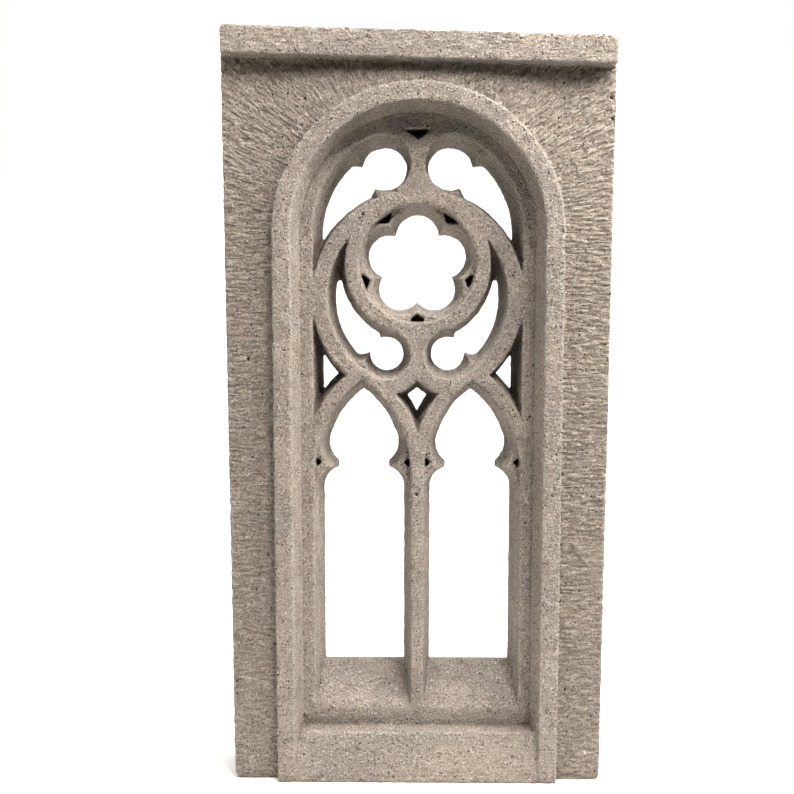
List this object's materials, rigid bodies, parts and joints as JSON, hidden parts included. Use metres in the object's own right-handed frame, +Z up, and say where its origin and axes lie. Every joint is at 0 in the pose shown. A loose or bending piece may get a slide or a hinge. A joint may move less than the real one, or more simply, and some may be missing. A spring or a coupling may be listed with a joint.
{
  "type": "gothic stone window frame",
  "caption": "Cast stone window in one piece: a flat slab with a ledge at its head, a raised round-arched band and pierced gothic tracery over cusped lights.",
  "frame": {"origin": "centre of the underside: halfway across the width, halfway between the front of the ledge and the flat back, at the level the window stands on", "axes": "+X to the right seen from the front, +Y from the carved front to the flat back, +Z up from the sill to the ledge"},
  "size_m": [0.409, 0.08, 0.808],
  "materials": {
    "stone": "matte, sandy and pitted"
  },
  "bodies": {
    "root": {"window_frame": "stone"}
  },
  "joints": []
}
